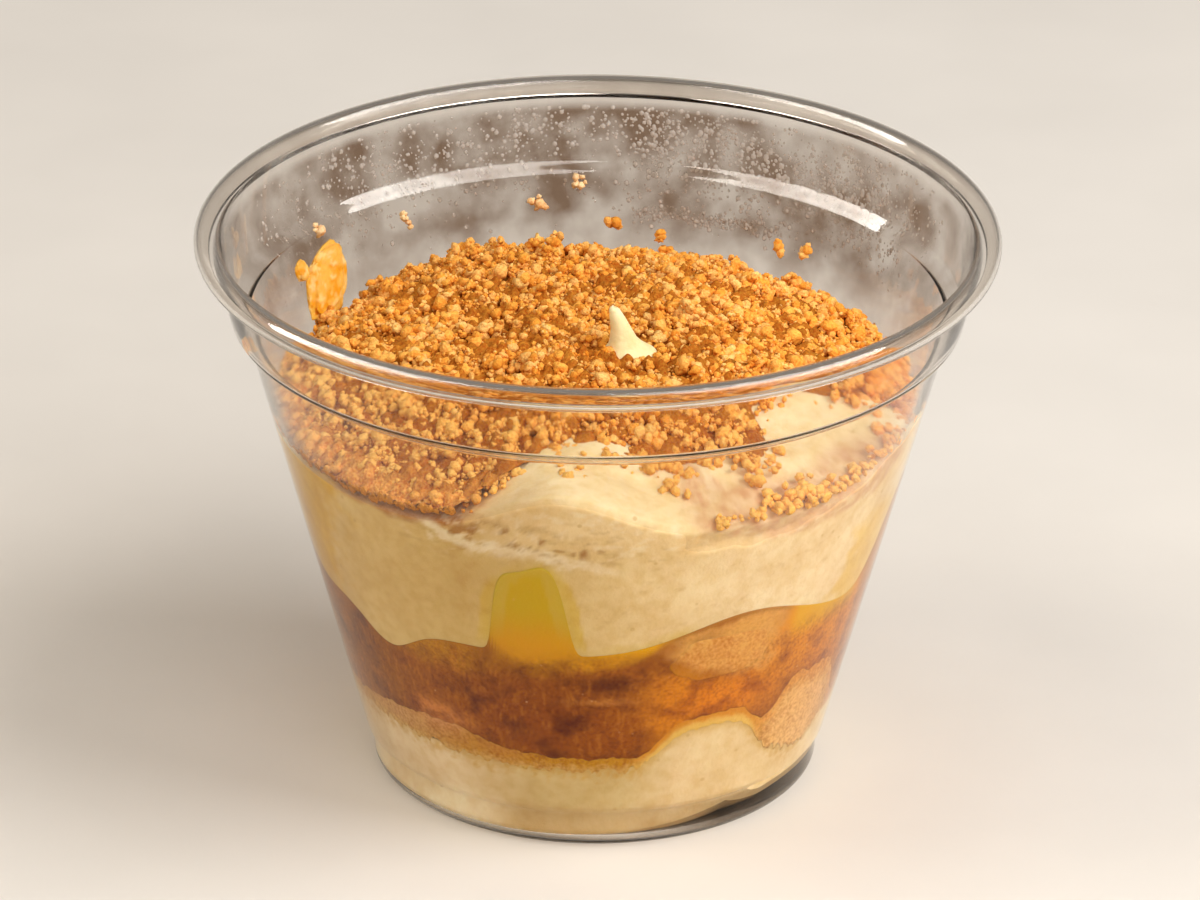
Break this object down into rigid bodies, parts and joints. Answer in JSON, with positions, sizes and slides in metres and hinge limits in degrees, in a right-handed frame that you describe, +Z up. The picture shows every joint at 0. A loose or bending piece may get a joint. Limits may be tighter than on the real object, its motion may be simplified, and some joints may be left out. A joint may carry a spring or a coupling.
{
  "type": "layered cream dessert in a clear cup",
  "caption": "Layered cream and fruit dessert with soaked biscuit, a crumb topping and a cream peak, in a clear tapered plastic cup with a rolled rim.",
  "frame": {"origin": "middle of the cup's foot, on the surface that it stands on", "axes": "+Z up along the cup's axis, -Y towards the front that the picture shows, +X to the right seen from the front"},
  "size_m": [0.095, 0.095, 0.0684],
  "materials": {
    "clear_plastic": "clear, glossy, thermoformed PET sheet",
    "cream": "soft, satin, slightly uneven",
    "soaked_biscuit": "granular, moist",
    "amber_fruit": "translucent, wet",
    "sponge": "fine open pores, moist",
    "crumbs": "dry, craggy, baked",
    "fruit_puree": "wet, thin"
  },
  "bodies": {
    "root": {"cup": "clear_plastic", "cream_lower": "cream", "biscuit_layer": "soaked_biscuit", "fruit_layer": "amber_fruit", "sponge_piece": "sponge", "cream_upper": "cream", "crumb_topping": "crumbs", "fruit_smear": "fruit_puree"}
  },
  "joints": []
}
